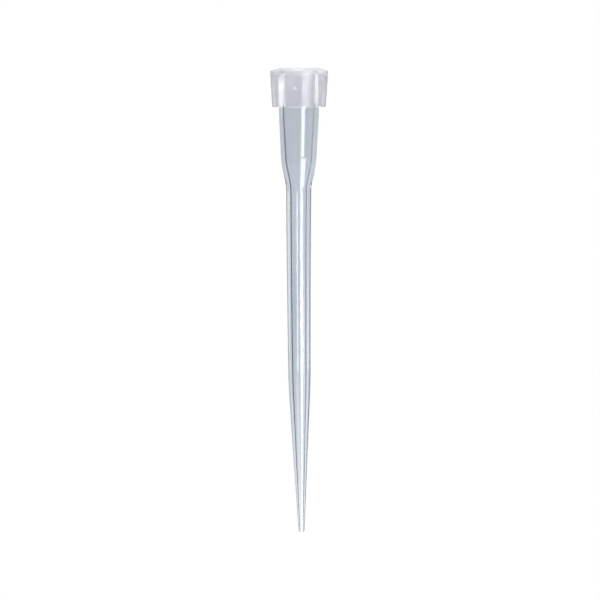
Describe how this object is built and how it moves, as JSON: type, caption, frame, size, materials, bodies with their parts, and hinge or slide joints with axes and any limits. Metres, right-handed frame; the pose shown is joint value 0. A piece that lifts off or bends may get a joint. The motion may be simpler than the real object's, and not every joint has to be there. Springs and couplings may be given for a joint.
{
  "type": "pipette tip",
  "caption": "Long slender clear plastic pipette tip: a thick domed collar over a tapered socket, a shoulder, a narrow stem and a fine open point.",
  "frame": {"origin": "on the tip's axis, where the round land that grips the nose cone begins below the mouth's lead-in", "axes": "+Z along the axis, out of the mouth, so that the collar is up and the point is down, as the tip is held in use; the gate mark on the collar faces -Y"},
  "size_m": [0.0058, 0.0058, 0.046],
  "materials": {
    "polypropylene": "clear natural polypropylene, polished mould finish, very slightly hazy"
  },
  "bodies": {
    "root": {"tip": "polypropylene"}
  },
  "joints": []
}
